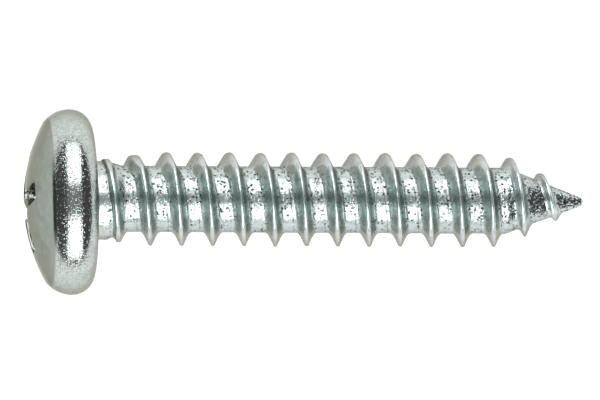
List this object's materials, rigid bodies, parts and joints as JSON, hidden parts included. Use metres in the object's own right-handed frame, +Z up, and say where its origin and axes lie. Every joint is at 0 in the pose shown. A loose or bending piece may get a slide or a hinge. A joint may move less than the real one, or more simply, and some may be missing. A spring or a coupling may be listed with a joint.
{
  "type": "sheet metal screw",
  "caption": "Pan head tapping screw with a cross recess and a cone point, bright zinc plated steel, lying on its side.",
  "frame": {"origin": "on the surface that the screw lies on, under the middle of its bounding box", "axes": "+X the way the point faces, +Z up; the screw's own axis lies in the XZ plane and slopes down towards the point by 6.2 degrees, because the head's rim and the thread touch the surface"},
  "size_m": [0.0284, 0.0094, 0.0094],
  "materials": {
    "zinc_plated_steel": "bright zinc plated"
  },
  "bodies": {
    "root": {"tapping_screw": "zinc_plated_steel"}
  },
  "joints": []
}
